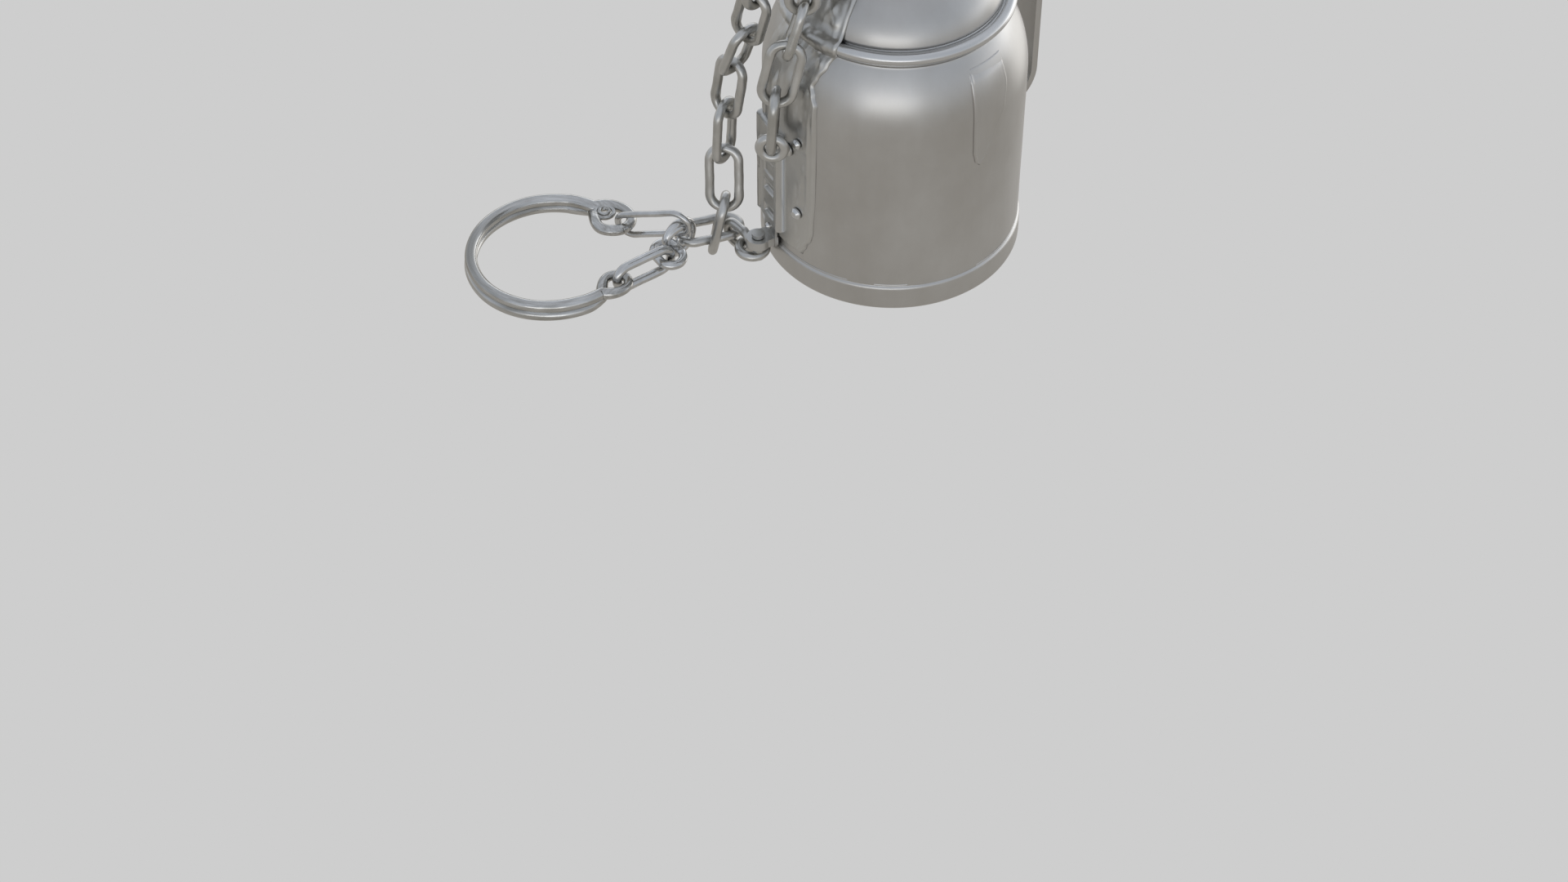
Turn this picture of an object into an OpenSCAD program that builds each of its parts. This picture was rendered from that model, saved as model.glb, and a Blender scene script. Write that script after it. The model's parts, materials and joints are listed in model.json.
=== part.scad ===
// Stainless steel canteen with a carrying chain and a belt ring.
// Millimetres, +Z up. The origin is the centre of the base's underside, and
// the chain and the belt ring lie towards -X.

/* [Bottle] */
// Outer radius of the straight wall
wall_r = 39.75; // [39.5:0.05:40]
// Sheet thickness of the bottle
sheet_t = 0.8; // [0.6:0.1:1]
// Radius of the base cup
base_r = 40.4; // [40.2:0.1:40.8]
// Height of the base cup's rounded lip
base_h = 9; // [8:0.5:10]
// Height where the shoulder leaves the straight wall
shoulder_z = 65; // [64:0.5:66]
// Height where the shoulder ends under the bead
shoulder_top_z = 87.2; // [86.5:0.1:88]
// Radius where the shoulder ends under the bead
shoulder_top_r = 32.6; // [32.4:0.1:32.8]
// Centre radius of the rolled bead
bead_r = 33.4; // [33.2:0.1:33.6]
// Height of the rolled bead's centre
bead_z = 91.2; // [91:0.1:91.4]
// Half thickness of the rolled bead
bead_t = 1.9; // [1.8:0.1:2]

/* [Neck and cap] */
// Outer radius of the neck tube
neck_r = 17; // [16.9:0.1:17.1]
// Height of the neck's rim
neck_top_z = 131; // [130:0.5:132]
// Thread pitch
pitch = 4; // [4:0.5:4]
// Height that the threads stand out
thread_h = 1.6; // [1.4:0.1:1.7]
// Outer radius of the cap
cap_r = 22.5; // [22:0.5:23]
// Height of the cap's lower edge
cap_z = 119.4; // [119.2:0.1:119.8]
// Height of the cap's flat top
cap_top_z = 137; // [136.5:0.5:138]
// Wire thickness of the bail on the cap
bail_wire = 3.2; // [3:0.1:3.4]

/* [Chain] */
// Wire thickness of the chain
wire = 3; // [2.9:0.05:3]
// Outer width of a link
link_w = 12; // [11.8:0.1:12.2]
// Room between two linked wires
link_gap = 0.3; // [0.25:0.05:0.35]
// Distance from one contact to the next along a long link
link_pitch = 17.1; // [17:0.05:17.2]
// Where the swivels' common axis stands
swivel_x = -41; // [-41.5:0.5:-40.5]
// Where the swivels' common axis stands
swivel_y = -20; // [-20.5:0.5:-19.5]

/* [Belt ring] */
// Centre line radius of the belt ring
ring_r = 24.8; // [24.5:0.1:25]
// Wire thickness of one of the ring's two strands
ring_strand = 3.9; // [3.7:0.1:4]

/* [Hidden] */
$fn = 64;

steel = [0.60, 0.60, 0.60];
bright_steel = [0.70, 0.71, 0.73];
rubber = [0.12, 0.12, 0.13];
plastic = [0.18, 0.18, 0.19];
thin = 0.05;
big = 200;

// ---- Outline helpers -------------------------------------------------

// Points on an arc about [cx, cz], from angle a0 to a1
function arc(cx, cz, r, a0, a1, n) =
  [for (i = [0:n]) let (a = a0 + (a1 - a0) * i / n) [cx + r * cos(a), cz + r * sin(a)]];

function flip(list) = [for (i = [len(list) - 1:-1:0]) list[i]];

// The shoulder is a piece of an ellipse that starts upright at the wall
shoulder_a = 44;
shoulder_turn = acos(1 - (wall_r - shoulder_top_r) / shoulder_a);
shoulder_b = (shoulder_top_z - shoulder_z) / sin(shoulder_turn);
shoulder_steps = 12;
function shoulder(t) = [for (i = [0:shoulder_steps])
  let (a = shoulder_turn * i / shoulder_steps)
  [wall_r + t * cos(a) - shoulder_a * (1 - cos(a)), shoulder_z + t * sin(a) + shoulder_b * sin(a)]];

// The dome above the bead is one arc, from the groove to the neck
dome_arc = 19;
dome_low = 12;
dome_high = 78;
dome_r0 = 31.6;
dome_z0 = 93.2;
dome_cx = dome_r0 - dome_arc * cos(dome_low);
dome_cz = dome_z0 - dome_arc * sin(dome_low);
function dome_line(t) = arc(dome_cx, dome_cz, dome_arc + t, dome_low, dome_high, 12);

module sector(az, half, outline) {
  rotate([0, 0, az - half]) rotate_extrude(angle = 2 * half, $fn = 180) polygon(outline);
}

// Everything inside the bottle's outer skin grown by t, for trimming what sits on it
module skin_block(t) {
  rotate_extrude($fn = 180) polygon(concat([[0, -1], [wall_r + t, -1]], shoulder(t),
    [[shoulder_top_r + t, bead_z], [0, bead_z]]));
}

// ---- Bottle ----------------------------------------------------------

module body_shell() {
  lap_z = 4.5;
  top_z = bead_z - bead_t - thin;
  color(steel) rotate_extrude($fn = 180) polygon(concat(
    [[wall_r - sheet_t, lap_z], [wall_r, lap_z]], shoulder(0),
    [[shoulder_top_r - 0.4, top_z], [shoulder_top_r - 1.3, top_z]], flip(shoulder(-sheet_t))));
}

module base_cup() {
  pad_r = 26;
  groove_r = 33;
  groove_h = 1.2;
  floor_z = 2.1;
  edge = 1.6;
  lip = 1;
  // The lip rolls over into the wall at the top and into the floor at the foot
  color(steel) rotate_extrude($fn = 180) polygon(concat(
    [[0, 0], [pad_r, 0], [pad_r + 1.5, groove_h], [groove_r, groove_h], [groove_r + 1.5, 0]],
    arc(base_r - edge, edge, edge, -90, 0, 6),
    arc(base_r - lip, base_h - lip + 1.2, lip, 0, 60, 6),
    [[wall_r + thin, base_h + 1.3], [wall_r + thin, floor_z + 2], [wall_r - 2, floor_z],
     [0, floor_z]]));
}

module rolled_bead() {
  color(bright_steel) rotate_extrude($fn = 180) translate([bead_r, bead_z]) circle(r = bead_t, $fn = 48);
}

module dome() {
  // The lower edge is tucked into the bead's roll
  color(steel) rotate_extrude($fn = 180) polygon(concat(
    [[bead_r - bead_t - 1.3, bead_z + 0.2], [bead_r - bead_t - thin, bead_z + 0.2]],
    dome_line(0), flip(dome_line(-sheet_t))));
}

module neck_tube() {
  foot_z = dome_cz + dome_arc * sin(dome_high) + 0.3;
  tube_t = 1.2;
  rim = tube_t / 2;
  color(steel) rotate_extrude($fn = 120) polygon(concat(
    [[neck_r - tube_t, foot_z - 1], [neck_r, foot_z], [neck_r, neck_top_z - 0.9]],
    arc(neck_r - rim, neck_top_z - rim, rim, 0, 180, 8)));
}

// One ridge wound round the axis, right-handed, standing out from radius r0 to r1
module helix_ridge(r0, r1, z0, turns, foot, crest) {
  steps = 60;
  n = round(turns * steps);
  pts = [for (i = [0:n]) let (a = 360 * i / steps, z = z0 + pitch * i / steps,
      ease = min(1, i / 8, (n - i) / 8) * 0.98 + 0.02, r = r0 + (r1 - r0) * ease)
    each [[r0 * cos(a), r0 * sin(a), z - foot / 2], [r * cos(a), r * sin(a), z - crest / 2],
      [r * cos(a), r * sin(a), z + crest / 2], [r0 * cos(a), r0 * sin(a), z + foot / 2]]];
  side = r1 > r0;
  ring_faces = [for (i = [0:n - 1]) each [for (k = [0:3])
    let (a = 4 * i + k, b = 4 * i + (k + 1) % 4)
    each side ? [[a, b, b + 4], [a, b + 4, a + 4]] : [[a, b + 4, b], [a, a + 4, b + 4]]]];
  ends = side ? [[3, 2, 1, 0], [4 * n, 4 * n + 1, 4 * n + 2, 4 * n + 3]]
    : [[0, 1, 2, 3], [4 * n + 3, 4 * n + 2, 4 * n + 1, 4 * n]];
  polyhedron(points = pts, faces = concat(ring_faces, ends), convexity = 8);
}

thread_z = 121.5;
thread_foot = 1.8;
thread_crest = 0.9;
thread_turns = 2;
liner_r = 19.1;

module neck_thread() {
  color(steel) helix_ridge(neck_r + thin, neck_r + thread_h, thread_z, thread_turns, thread_foot,
    thread_crest);
}

// ---- Side strap, clip bar and brackets -------------------------------

strap_az = -149.5;
strap_half = 21;
strap_t = 1.2;
strap_foot_z = 12.8;
strap_rivet_az = -135.8;

module side_strap() {
  outer = bead_r + bead_t + 0.1;
  tip_r = 19;
  inside = concat([[wall_r + thin, strap_foot_z]], shoulder(thin),
    [[outer, bead_z - 2.6], [outer, bead_z + 1.2]]);
  outside = concat([[wall_r + strap_t, strap_foot_z]], shoulder(strap_t),
    [[outer + strap_t, bead_z - 3], [outer + strap_t, bead_z + 1.7]]);
  climb = [for (p = dome_line(thin)) if (p[1] > bead_z + 4.6 && p[0] > tip_r) p];
  climb_out = [for (p = dome_line(strap_t)) if (p[1] > bead_z + 5.1 && p[0] > tip_r) p];
  color(steel) sector(strap_az, strap_half,
    concat(outside, climb_out, flip(climb), flip(inside)));
}

bar_az = -155.3;
bar_half = 10.5;
bar_in = wall_r + strap_t + 0.1;
bar_t = 2.6;
bar_z0 = 17;
bar_z1 = 55;
bar_soft = 0.8;
window_h = 5;
window_half = 3;
window_zs = [22, 31.5];
window_az = bar_az - 1;
groove_az = bar_az + 8.2;

module clip_bar() {
  color(steel) difference() {
    sector(bar_az, bar_half, [[bar_in, bar_z0], [bar_in + bar_t - bar_soft, bar_z0],
      [bar_in + bar_t, bar_z0 + 1], [bar_in + bar_t, bar_z1 - 1],
      [bar_in + bar_t - bar_soft, bar_z1], [bar_in, bar_z1]]);
    for (z = window_zs) {
      sector(window_az, window_half, [[bar_in + 1.1, z], [bar_in + 9, z],
        [bar_in + 9, z + window_h], [bar_in + 1.1, z + window_h]]);
    }
    sector(groove_az, 0.7, [[bar_in + 1.4, bar_z0 + 4], [bar_in + 9, bar_z0 + 4],
      [bar_in + 9, bar_z1 - 5], [bar_in + 1.4, bar_z1 - 5]]);
  }
}

rivet_rim = 0.5;

// A domed rivet head on the side, with its flat back at radius r
module rivet(az, z, r, head) {
  rotate([0, 0, az]) translate([r, 0, z]) rotate([0, 90, 0]) {
    cylinder(r = head, h = rivet_rim, $fn = 48);
    translate([0, 0, rivet_rim]) cylinder(r1 = head, r2 = head * 0.55, h = 0.7, $fn = 48);
  }
}

module clip_rivets() {
  color(bright_steel) {
    rivet(window_az, 46, bar_in + bar_t + thin, 2.2);
    rivet(swivel_az, bar_z0 - 1.7, foot_leaf_r + foot_leaf_t + thin, 1.1);
    rivet(strap_rivet_az, 29, wall_r + strap_t + thin, 1.9);
    rivet(strap_rivet_az, 56, wall_r + strap_t + thin, 1.6);
  }
}

// ---- Chain geometry --------------------------------------------------

contact_half = (wire + link_gap) / 2;

// A closed link from contact p to contact q. The width lies at azimuth w before
// the link is turned onto its line.
module link_between(p, q, w, width = link_w, thick = wire) {
  d = q[2] > p[2] ? q - p : p - q;
  run = norm(d);
  tip = run / 2 + (wire + link_gap) / 2;
  bend = (width - thick) / 2;
  lean = acos(d[2] / run);
  az = atan2(d[1], d[0]);
  translate((p + q) / 2) rotate([0, lean, az]) rotate([0, 0, w - az]) stadium(tip, bend, thick);
}

// A link standing along Z, its width along X
module stadium(tip, bend, thick) {
  leg = round(100 * (tip - bend)) / 100;
  for (s = [-1, 1]) {
    translate([0, 0, s * leg]) rotate([90, s < 0 ? 180 : 0, 0])
      rotate_extrude(angle = 180, $fn = 48) translate([bend, 0]) circle(r = thick / 2, $fn = 32);
    translate([s * bend, 0, -leg]) cylinder(r = thick / 2, h = 2 * leg, $fn = 32);
  }
}

// Direction from a lean off straight down and an azimuth
function down(lean, az) = [sin(lean) * cos(az), sin(lean) * sin(az), -cos(lean)];
function walk(p, i = 0) = i == len(chain_leans) ? [p]
  : concat([p], walk(p + link_pitch * down(chain_leans[i], chain_azs[i]), i + 1));

// The carrying chain hangs a little slack, from the top swivel to the ground: how far each
// link leans off straight down, which way it leans, and which way its width lies
chain_leans = [19.3, 23, 8.7, 2.7, 12.9, 12];
chain_azs = [123, 128.4, 157.4, -150, -90, 175];
chain_turns = [-40, 46, -42, 62, -8, 84];
function drop(i) = i < 0 ? 0 : link_pitch * cos(chain_leans[i]) + drop(i - 1);
chain_drop = drop(len(chain_leans) - 1);
ground_wire_z = wire / 2 + 0.15;
low_contact_z = ground_wire_z + contact_half;
chain_top = [swivel_x, swivel_y, low_contact_z + chain_drop];
chain_pts = walk(chain_top);
chain_end = chain_pts[len(chain_leans)];

module chain_link(i) {
  color(steel) link_between(chain_pts[i - 1], chain_pts[i], chain_turns[i - 1]);
}

// The junction link lies flat, on the wires that pass under it
junction_az = 198;
junction_shift = 0.1;
junction_len = 19.6;
junction_leg = junction_len / 2 - (link_w - wire) / 2;
junction_bend = (link_w - wire) / 2;
junction_z = ground_wire_z + wire + link_gap;
junction_along = [cos(junction_az), sin(junction_az), 0];
junction_front = [cos(junction_az + 90), sin(junction_az + 90), 0];
junction_c = [chain_end[0], chain_end[1], junction_z] - junction_bend * junction_front
  + junction_shift * junction_along;
junction_left = junction_c + junction_leg * junction_along;
junction_right = junction_c - junction_leg * junction_along;

module junction_link() {
  color(bright_steel) translate(junction_c) rotate([0, 90, junction_az]) rotate([0, 0, 90])
    stadium(junction_len / 2, junction_bend, wire);
}

// ---- Swivels ---------------------------------------------------------

arm_z = chain_top[2] + 9.6;
arm_t = 3;
arm_w = 11;
pin_r = 1.8;
pin_room = 0.05;
eye_bend = 4.2;
head_gap = 0.3;
swivel_r = norm([swivel_x, swivel_y]);
swivel_az = atan2(swivel_y, swivel_x);
top_eye_z = chain_top[2] - contact_half + eye_bend;

module top_swivel() {
  eye_az = 50;
  color(bright_steel) translate([swivel_x, swivel_y, 0]) {
    translate([0, 0, top_eye_z]) rotate([90, 0, eye_az])
      rotate_extrude($fn = 64) translate([eye_bend, 0]) circle(r = wire / 2, $fn = 32);
    translate([0, 0, top_eye_z + eye_bend])
      cylinder(r = pin_r, h = arm_z + arm_t + 0.4 - top_eye_z - eye_bend);
    translate([0, 0, arm_z + arm_t + head_gap]) cylinder(r = 3, h = 1.6);
  }
}

// The short link runs from the junction link's right end to the foot swivel
foot_link_w = 10.5;
foot_link_bend = (foot_link_w - wire) / 2;
foot_link_z = foot_link_bend + ground_wire_z;
foot_run = [swivel_x, swivel_y, 0] - [junction_right[0], junction_right[1], 0];
foot_dir = foot_run / norm(foot_run);
foot_az = atan2(foot_dir[1], foot_dir[0]);
foot_link_a = [junction_right[0], junction_right[1], foot_link_z]
  + (junction_bend - contact_half) * foot_dir;
foot_eye_reach = 7;
foot_link_b = [swivel_x, swivel_y, foot_link_z] - (foot_eye_reach - contact_half) * foot_dir;

module foot_link() {
  color(steel) {
    d = foot_link_b - foot_link_a;
    tip = norm(d) / 2 + contact_half;
    translate((foot_link_a + foot_link_b) / 2) rotate([0, 90, foot_az])
      stadium(tip, foot_link_bend, wire);
  }
}

foot_arm_z = foot_link_z + 3.8;
foot_arm_t = 3;
foot_arm_w = 6.2;
foot_rim = 0.6;
foot_stop = 1.8;
foot_root_r = wall_r - 4;
eye_rim = 0.5;
foot_pin_r = 1.5;
foot_leaf_r = wall_r + strap_t + thin;
foot_leaf_t = 0.8;

module foot_swivel() {
  bend = 4.1;
  color(bright_steel) translate([swivel_x, swivel_y, 0]) {
    translate([0, 0, foot_link_z]) rotate([0, 0, foot_az + 180])
      translate([foot_eye_reach - bend, 0, 0])
      rotate_extrude($fn = 64) translate([bend, 0]) circle(r = wire / 2, $fn = 32);
    translate([0, 0, foot_link_z - 1.6]) cylinder(r = 1.9, h = 4.3);
    translate([0, 0, foot_link_z])
      cylinder(r = foot_pin_r, h = foot_arm_z + foot_arm_t + 0.4 - foot_link_z);
    translate([0, 0, foot_arm_z + foot_arm_t + head_gap]) cylinder(r = 2, h = 1.2);
  }
}

module foot_bracket() {
  color(steel) difference() {
    union() {
      rotate([0, 0, swivel_az]) translate([foot_root_r, -foot_arm_w / 2, foot_arm_z])
        cube([swivel_r - foot_root_r - foot_stop, foot_arm_w, foot_arm_t]);
      translate([swivel_x, swivel_y, foot_arm_z]) rotate([0, 0, swivel_az])
        cylinder(r = foot_arm_w / 2 + foot_rim, h = foot_arm_t);
      // An upright leaf is riveted through the side strap
      sector(swivel_az, 5, [[foot_leaf_r, foot_arm_z], [foot_leaf_r + foot_leaf_t, foot_arm_z],
        [foot_leaf_r + foot_leaf_t, bar_z0 - 0.5], [foot_leaf_r, bar_z0 - 0.5]]);
    }
    translate([swivel_x, swivel_y, 0]) cylinder(r = foot_pin_r + pin_room, h = big, $fn = 64);
    cylinder(r = base_r + 0.02, h = big, center = true, $fn = 180);
  }
}

guard_az = -137;
guard_r = 38;
guard_arm_w = 9;
band_r = neck_r + 2.2;
band_z = arm_z - 1.2;
band_h = arm_t + 1.8;
screw_r = band_r + 2.6;
screw_z = band_z + band_h / 2;

module neck_collar() {
  slit = 1.2;
  lug = 7;
  color(steel) difference() {
    union() {
      translate([0, 0, band_z]) cylinder(r = band_r, h = band_h, $fn = 120);
      rotate([0, 0, swivel_az]) translate([0, -arm_w / 2, arm_z]) cube([swivel_r, arm_w, arm_t]);
      translate([swivel_x, swivel_y, arm_z]) cylinder(r = arm_w / 2 + eye_rim, h = arm_t);
      rotate([0, 0, guard_az]) translate([0, -guard_arm_w / 2, arm_z])
        cube([guard_r, guard_arm_w, arm_t]);
      // A web joins the two arms at their root
      rotate([0, 0, (guard_az + swivel_az) / 2]) translate([0, -3, arm_z]) cube([28, 6, arm_t]);
      rotate([0, 0, guard_az]) translate([guard_r, 0, arm_z])
        cylinder(r = guard_arm_w / 2 + eye_rim, h = arm_t);
      rotate([0, 0, swivel_az + 180]) translate([band_r - 1.5, -lug / 2, band_z])
        cube([lug, lug, band_h]);
    }
    cylinder(r = neck_r + 0.02, h = 2 * big, center = true, $fn = 120);
    translate([swivel_x, swivel_y, 0]) cylinder(r = pin_r + pin_room, h = big, $fn = 64);
    rotate([0, 0, guard_az]) translate([guard_r, 0, 0])
      cylinder(r = pin_r + pin_room, h = big, $fn = 64);
    // The band is slit and drawn together by a screw
    rotate([0, 0, swivel_az + 180]) translate([0, -slit / 2, 0]) cube([big, slit, big]);
    rotate([0, 0, swivel_az + 180]) translate([screw_r, 0, screw_z]) rotate([90, 0, 0])
      cylinder(r = 1.27, h = 20, center = true, $fn = 48);
  }
}

module collar_screw() {
  color(bright_steel) rotate([0, 0, swivel_az + 180]) translate([screw_r, 0, screw_z])
    rotate([90, 0, 0]) difference() {
      union() {
        cylinder(r = 1.25, h = 9.4, center = true, $fn = 48);
        translate([0, 0, 3.55]) cylinder(r = 2.3, h = 1.4, $fn = 48);
        translate([0, 0, -5]) cylinder(r = 2.2, h = 1.45, $fn = 6);
      }
      translate([0, 0, 4.2]) cylinder(r = 1.1, h = 2, $fn = 6);
    }
}

// ---- Guard chain: from the collar down to the clip bar ----------------

function polar(r, az, z) = [r * cos(az), r * sin(az), z];
guard_pts = [polar(guard_r, guard_az, arm_z - 6.2 - contact_half),
  polar(42.6, guard_az - 1.5, 90.6),
  polar(46.2, guard_az - 3.5, 74),
  polar(46.8, guard_az - 4.5, 57)];
guard_turns = [guard_az + 44, guard_az - 47, guard_az + 42];

module guard_link(i) {
  color(steel) link_between(guard_pts[i - 1], guard_pts[i], guard_turns[i - 1]);
}

module guard_eye() {
  top = guard_pts[0];
  bend = 3.9;
  color(bright_steel) translate([top[0], top[1], 0]) {
    translate([0, 0, top[2] - contact_half + bend]) rotate([90, 0, guard_az - 46])
      rotate_extrude($fn = 64) translate([bend, 0]) circle(r = wire / 2, $fn = 32);
    translate([0, 0, top[2] - contact_half + 2 * bend])
      cylinder(r = 2.6, h = arm_z - thin - top[2] + contact_half - 2 * bend);
    translate([0, 0, arm_z - 0.5]) cylinder(r = pin_r, h = arm_t + 0.6);
    translate([0, 0, arm_z + arm_t + thin]) cylinder(r = 2.8, h = 1.5);
  }
}

// The tab on the clip bar that holds the guard chain's last link
module clip_tab() {
  low = guard_pts[3];
  bend = 3.6;
  az = atan2(low[1], low[0]);
  back = wall_r + strap_t + thin;
  stalk_z = low[2] + contact_half - 2 * bend;
  color(bright_steel) {
    translate([low[0], low[1], low[2] + contact_half - bend]) rotate([90, 0, guard_az - 49])
      rotate_extrude($fn = 64) translate([bend, 0]) circle(r = wire / 2, $fn = 32);
    translate([0, 0, stalk_z]) rotate([0, 0, az]) translate([back + 0.3, 0, 0])
      rotate([0, 90, 0]) cylinder(r = 1.4, h = norm([low[0], low[1]]) - back - 0.3);
    rivet(az, stalk_z, back, 2.2);
  }
}

// ---- Blank plate and handle ------------------------------------------

module blank_plate() {
  plate_az = -48.5;
  plate_half = 10;
  plate_t = 0.5;
  plate_low = 50;
  plate_high = 84;
  outside = [for (p = shoulder(plate_t)) if (p[1] < plate_high) p];
  inside = [for (p = shoulder(thin)) if (p[1] < plate_high - 0.2) p];
  color(steel) sector(plate_az, plate_half, concat(
    [[wall_r + thin, plate_low], [wall_r + plate_t, plate_low + 0.4]], outside, flip(inside)));
}

handle_az = 35;
handle_w = 10;
handle_out = 52;
handle_t = 2.2;
handle_lo = 30;
handle_hi = 86;
handle_bend = 12;
handle_pad_t = 1.2;

module handle_outline(shrink) {
  lo = handle_lo + shrink;
  hi = handle_hi - shrink;
  out = handle_out - shrink;
  bend = handle_bend - shrink;
  polygon(concat([[20, lo]], arc(out - bend, lo + bend, bend, -90, 0, 12),
    arc(out - bend, hi - bend, bend, 0, 90, 12), [[20, hi]]));
}

module handle_strap() {
  color(steel) difference() {
    rotate([0, 0, handle_az]) translate([0, handle_w / 2, 0]) rotate([90, 0, 0])
      linear_extrude(height = handle_w) difference() {
        handle_outline(0);
        handle_outline(handle_t);
      }
    skin_block(handle_pad_t + 2 * thin);
  }
}

module handle_pads() {
  half = 13;
  foot = handle_lo - 7;
  top = handle_lo + 11;
  edge = 0.6;
  low = 74;
  color(steel) {
    sector(handle_az, half, [[wall_r + thin, foot], [wall_r + handle_pad_t, foot + edge],
      [wall_r + handle_pad_t, top - edge], [wall_r + thin, top]]);
    sector(handle_az, half, concat([for (p = shoulder(handle_pad_t)) if (p[1] > low) p],
      flip([for (p = shoulder(thin)) if (p[1] > low) p])));
  }
}

module handle_rivets() {
  color(bright_steel) for (side = [-6, 6]) {
    for (z = [handle_lo - 3.5, handle_lo + 7]) {
      rivet(handle_az + side, z, wall_r + handle_pad_t + thin, 1.8);
    }
  }
}

// ---- Cap -------------------------------------------------------------

cap_hole_r = 2.05;

module cap_shell() {
  flutes = 36;
  soft = 3;
  wall = 1.2;
  color(steel) difference() {
    rotate_extrude($fn = 120) polygon(concat([[cap_r - 1, cap_z], [cap_r, cap_z + 1]],
      arc(cap_r - soft, cap_top_z - soft, soft, 0, 90, 8), [[0, cap_top_z], [0, cap_top_z - wall],
       [cap_r - wall - soft, cap_top_z - wall], [cap_r - wall, cap_top_z - wall - soft],
       [cap_r - wall, cap_z]]));
    for (i = [0:flutes - 1]) {
      rotate([0, 0, i * 360 / flutes]) translate([cap_r + 0.9, 0, cap_z + 2.5])
        cylinder(r = 1.3, h = 9.5, $fn = 16);
    }
    cylinder(r = cap_hole_r, h = 2 * big, center = true, $fn = 48);
  }
}

module cap_liner() {
  top = neck_top_z + 1.6;
  out = cap_r - 1.2 - thin;
  disc = 1.4;
  color(plastic) difference() {
    rotate_extrude($fn = 120) polygon([[0, top + disc], [0, top], [liner_r, top],
      [liner_r, cap_z + 0.4], [out, cap_z + 0.4], [out, cap_top_z - 4.6], [17, top + disc]]);
    cylinder(r = cap_hole_r, h = 2 * big, center = true, $fn = 48);
  }
}

module cap_thread() {
  color(plastic) helix_ridge(liner_r - 0.02, liner_r - thread_h, thread_z - pitch / 2,
    thread_turns, thread_foot, thread_crest);
}

module cap_gasket() {
  color(rubber) translate([0, 0, neck_top_z + 0.1]) difference() {
    cylinder(r = neck_r + 0.8, h = 1.4, $fn = 120);
    translate([0, 0, -1]) cylinder(r = neck_r - 3, h = 4, $fn = 120);
  }
}

boss_r = 6;
boss_barrel = 3.4;
boss_z = cap_top_z + 0.3;
boss_axis = 5;
bail_z = boss_z + boss_axis;
bail_hole = bail_wire / 2 + 0.05;

module cap_boss() {
  color(bright_steel) difference() {
    translate([0, 0, boss_z]) union() {
      cylinder(r = boss_r, h = 2);
      translate([-boss_r + 0.5, -boss_barrel, 1]) cube([2 * boss_r - 1, 2 * boss_barrel, 4.6]);
      translate([0, 0, boss_axis]) rotate([0, 90, 0]) translate([0, 0, -boss_r + 0.5])
        cylinder(r = boss_barrel, h = 2 * boss_r - 1);
    }
    translate([0, 0, bail_z]) rotate([0, 90, 0]) cylinder(r = bail_hole, h = 40, center = true);
  }
}

module cap_swivel_pin() {
  color(bright_steel) {
    translate([0, 0, cap_top_z - 2.5]) cylinder(r = 1.95, h = 2.8);
    translate([0, 0, cap_top_z - 2.6]) cylinder(r = 3.6, h = 1.2);
  }
}

// A wire bail, bent up from the boss and round over the top
module bail() {
  half = 9;
  rise = 7;
  w = bail_wire / 2;
  color(bright_steel) translate([0, 0, bail_z]) {
    rotate([0, 90, 0]) translate([0, 0, -half]) cylinder(r = w, h = 2 * half);
    for (s = [-1, 1]) {
      translate([s * half, 0, 0]) sphere(r = w);
      translate([s * half, 0, 0]) cylinder(r = w, h = rise);
    }
    translate([0, 0, rise]) rotate([90, 0, 0]) rotate_extrude(angle = 180)
      translate([half, 0]) circle(r = w);
  }
}

// ---- Ring group ------------------------------------------------------

coil_wire = 2.4;
coil_bend = 5.8;
coil_az = 225;
coil_dir = [cos(coil_az), sin(coil_az), 0];
coil_hold = (wire + coil_wire) / 2 + link_gap;
coil_c = [junction_left[0], junction_left[1], coil_wire / 2 + 0.1 + coil_bend]
  + (junction_bend + 1.5) * coil_dir;

module coil_ring() {
  color(bright_steel) translate(coil_c) rotate([90, 0, coil_az])
    rotate_extrude($fn = 64) translate([coil_bend, 0]) circle(r = coil_wire / 2, $fn = 32);
}

ring_c = [-105.2, -19.4];
strand_r = ring_strand / 2;
ring_low_z = strand_r + 0.1;
ring_from = 44;
ring_to = 323;
eye_z = 5.2;
upper_eye_bend = 5.6;
upper_eye = [-86.4, -4.2, eye_z];
lower_eye_bend = 3.8;
lower_eye = [-84.4, -33.6, eye_z];

module belt_ring() {
  color(bright_steel) {
    translate([ring_c[0], ring_c[1], 0]) rotate([0, 0, ring_from])
      rotate_extrude(angle = ring_to - ring_from, $fn = 180) translate([ring_r, 0]) {
        translate([0, ring_low_z]) circle(r = strand_r, $fn = 48);
        translate([-0.3, ring_low_z + ring_strand - 0.9]) circle(r = strand_r, $fn = 48);
      }
    translate(upper_eye) rotate_extrude($fn = 64)
      translate([upper_eye_bend, 0]) circle(r = wire / 2, $fn = 32);
    translate(lower_eye) rotate_extrude($fn = 64)
      translate([lower_eye_bend, 0]) circle(r = wire / 2, $fn = 32);
  }
}

function unit(v) = v / norm(v);
function flat(v) = [v[0], v[1], 0];

// Upper link: over the coil's top wire and down to the upper eye
upper_w = 10.5;
upper_turn = -8;
upper_hook = coil_c + [0, 0, coil_bend];
upper_flat = unit(flat(upper_eye - upper_hook));
upper_far = upper_eye - upper_eye_bend * upper_flat;
upper_dir = unit(upper_far - upper_hook);
upper_p = upper_hook - (coil_hold - contact_half) * upper_dir;
upper_q = upper_far + contact_half * upper_dir;

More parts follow.
